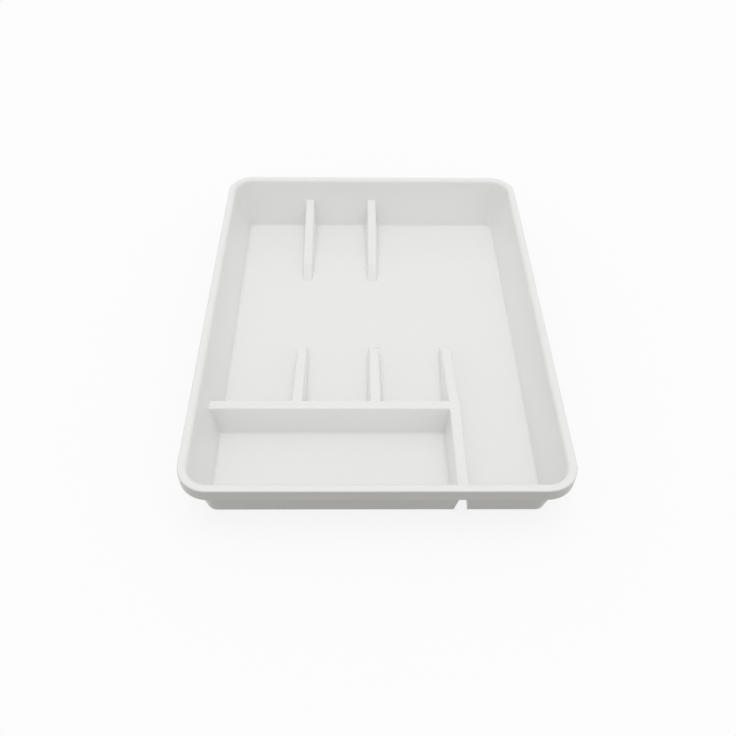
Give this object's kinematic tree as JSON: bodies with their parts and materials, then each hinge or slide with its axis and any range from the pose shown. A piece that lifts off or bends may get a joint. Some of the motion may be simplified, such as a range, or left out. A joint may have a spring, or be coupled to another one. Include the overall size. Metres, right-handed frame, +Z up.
{
  "type": "cutlery tray",
  "caption": "Shallow white moulded drawer tray with a rolled-over hollow rim, leaning walls, folded dividers and sloping fins that sort cutlery into compartments.",
  "frame": {"origin": "centre of the tray's plan, on the surface it stands on", "axes": "+X to the right, +Y to the back, away from the small front compartment, +Z up"},
  "size_m": [0.3, 0.4, 0.052],
  "materials": {
    "white_plastic": "glossy"
  },
  "bodies": {
    "root": {"rim": "white_plastic", "front_wall": "white_plastic", "right_wall": "white_plastic", "back_wall": "white_plastic", "left_wall": "white_plastic", "main_floor": "white_plastic", "front_floor": "white_plastic", "long_divider": "white_plastic", "cross_divider": "white_plastic", "front_left_fin": "white_plastic", "front_middle_fin": "white_plastic", "back_left_fin": "white_plastic", "back_right_fin": "white_plastic"}
  },
  "joints": []
}
